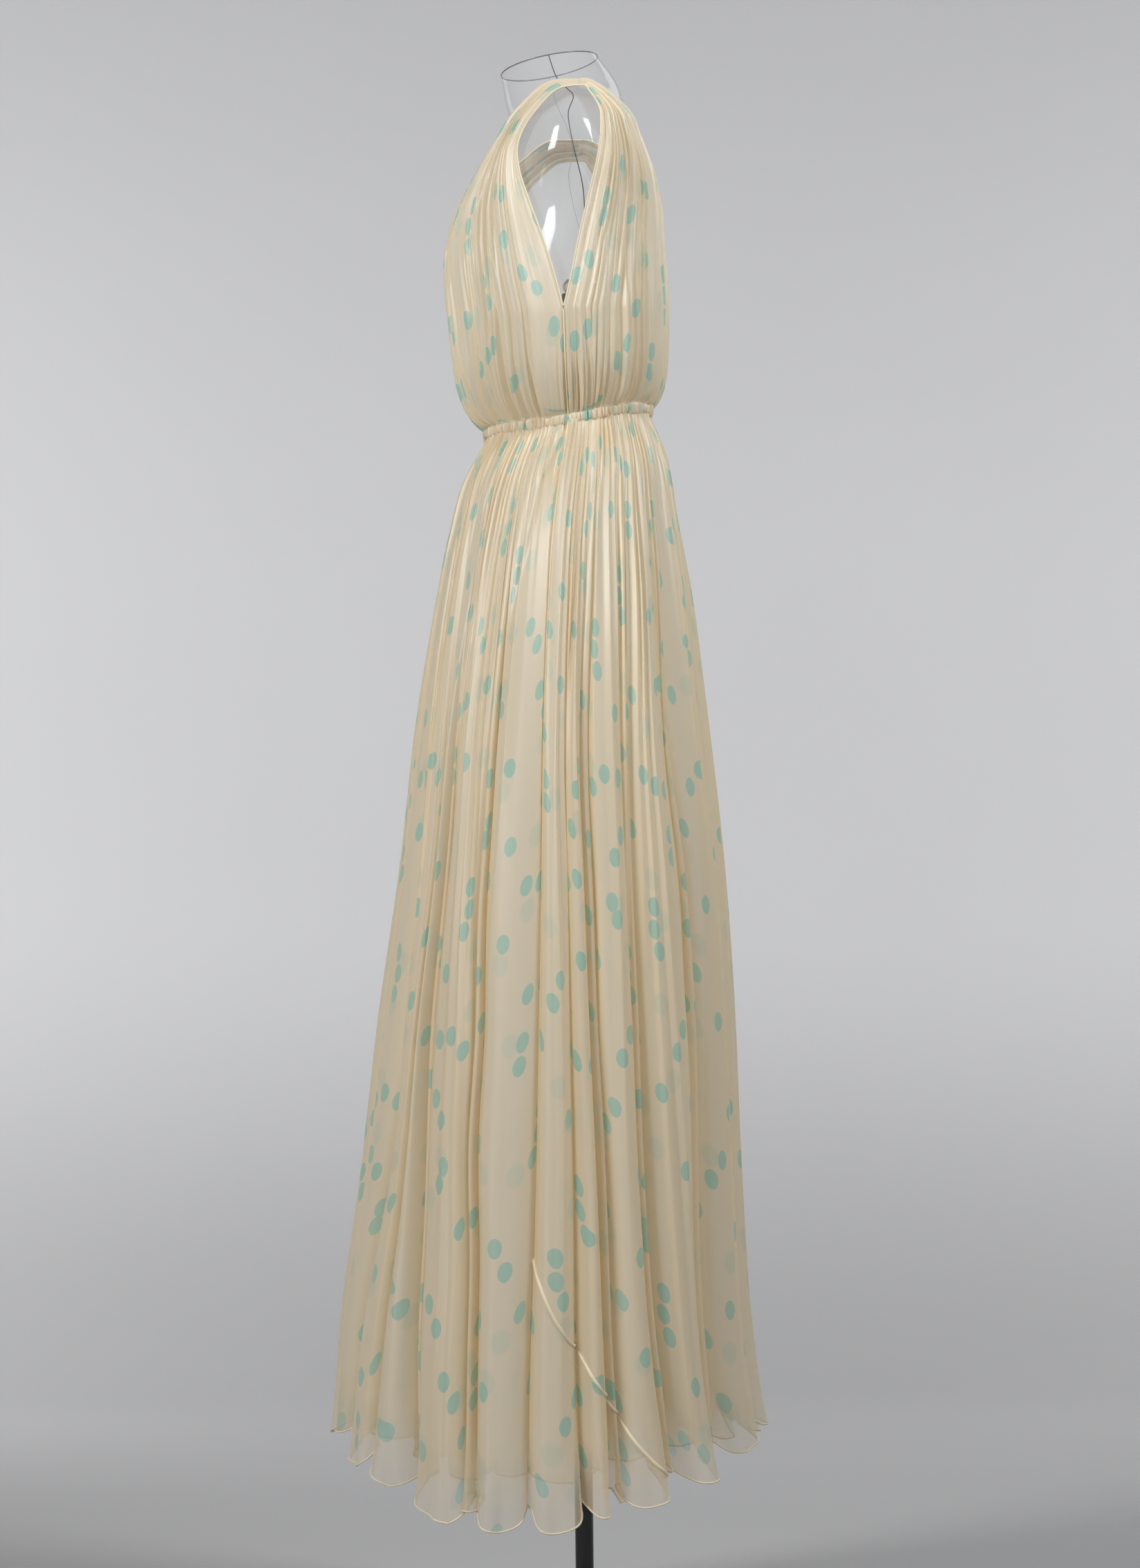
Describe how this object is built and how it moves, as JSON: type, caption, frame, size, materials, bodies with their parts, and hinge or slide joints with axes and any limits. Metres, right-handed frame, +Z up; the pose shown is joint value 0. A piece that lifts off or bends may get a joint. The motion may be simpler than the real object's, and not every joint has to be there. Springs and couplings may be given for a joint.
{
  "type": "sleeveless chiffon gown on a limbless clear dress form and pole stand",
  "caption": "Floor-length sleeveless gown of gathered, dotted chiffon with a narrow crinkled waist band, on a clear limbless dress form with a black pole and a round base.",
  "frame": {"origin": "on the floor, at the middle of the base's underside, on the pole's axis", "axes": "+Z up, the gown's front faces -Y, the wearer's left side is at +X"},
  "size_m": [0.6106, 0.5205, 1.944],
  "materials": {
    "chiffon": "sheer silk chiffon, cream with pale green dots, soft satin light on the folds",
    "waist_band": "the same silk, crinkled, peach where it lies double",
    "clear_plastic": "clear moulded plastic, polished",
    "black_metal": "black satin paint",
    "chrome": "polished chrome"
  },
  "bodies": {
    "root": {"bodice_front": "chiffon", "bodice_back": "chiffon", "waist_casing": "waist_band", "skirt_front": "chiffon", "skirt_back": "chiffon", "skirt_gore_left": "chiffon", "skirt_gore_right": "chiffon", "form_front": "clear_plastic", "form_back": "clear_plastic", "form_bracket": "clear_plastic", "stand_pole": "black_metal", "stand_finial": "chrome", "stand_base": "black_metal"}
  },
  "joints": []
}
